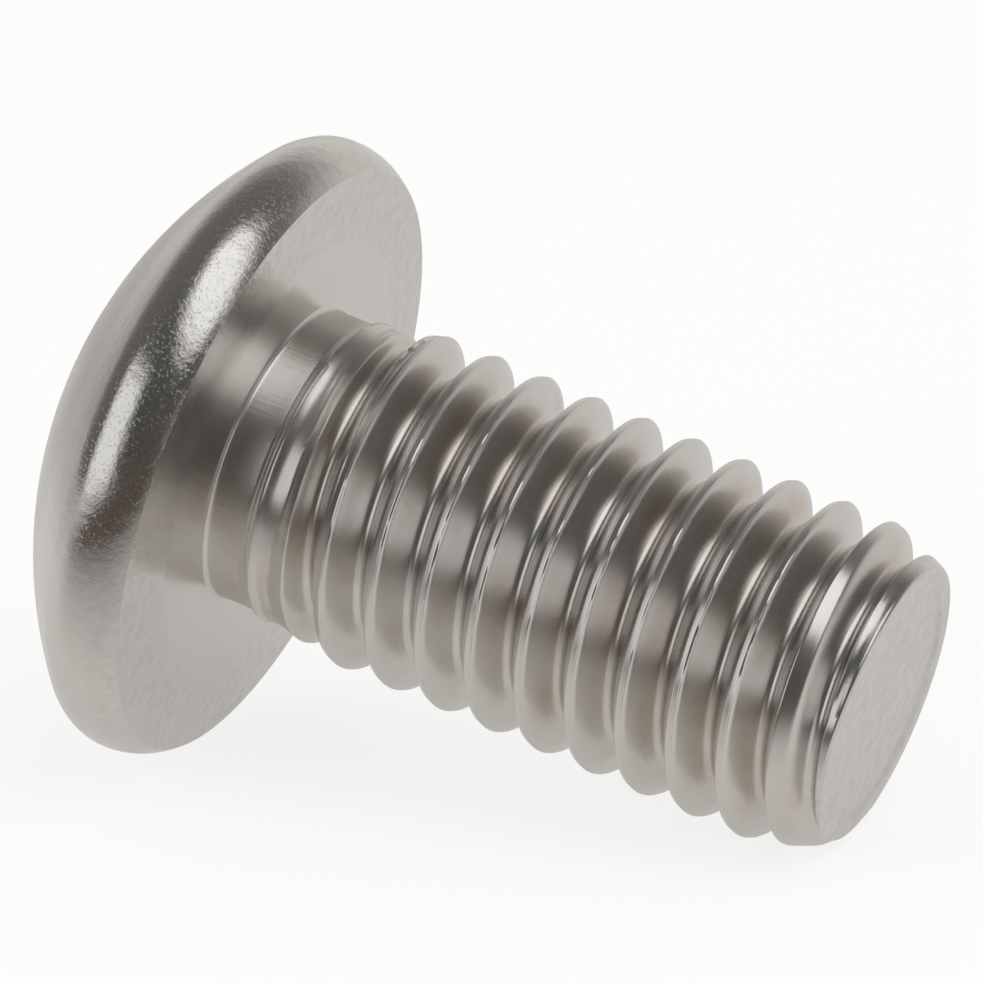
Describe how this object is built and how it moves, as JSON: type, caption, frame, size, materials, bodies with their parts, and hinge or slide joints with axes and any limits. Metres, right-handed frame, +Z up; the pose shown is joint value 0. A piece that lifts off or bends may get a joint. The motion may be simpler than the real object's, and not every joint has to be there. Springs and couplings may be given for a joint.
{
  "type": "machine screw",
  "caption": "Button head machine screw with a hexagon socket, a plain neck and a rolled right-hand thread, lying on its side.",
  "frame": {"origin": "on the surface that the screw lies on, under the middle of its bounding box", "axes": "+X along the screw's length, from the head towards the point; +Z up; the screw's own axis lies in the XZ plane and slopes down towards the point by 14.2 degrees"},
  "size_m": [0.013, 0.0092, 0.0091],
  "materials": {
    "stainless_steel": "polished by forming and tumbling, with fine drawing and rolling lines"
  },
  "bodies": {
    "root": {"screw": "stainless_steel"}
  },
  "joints": []
}
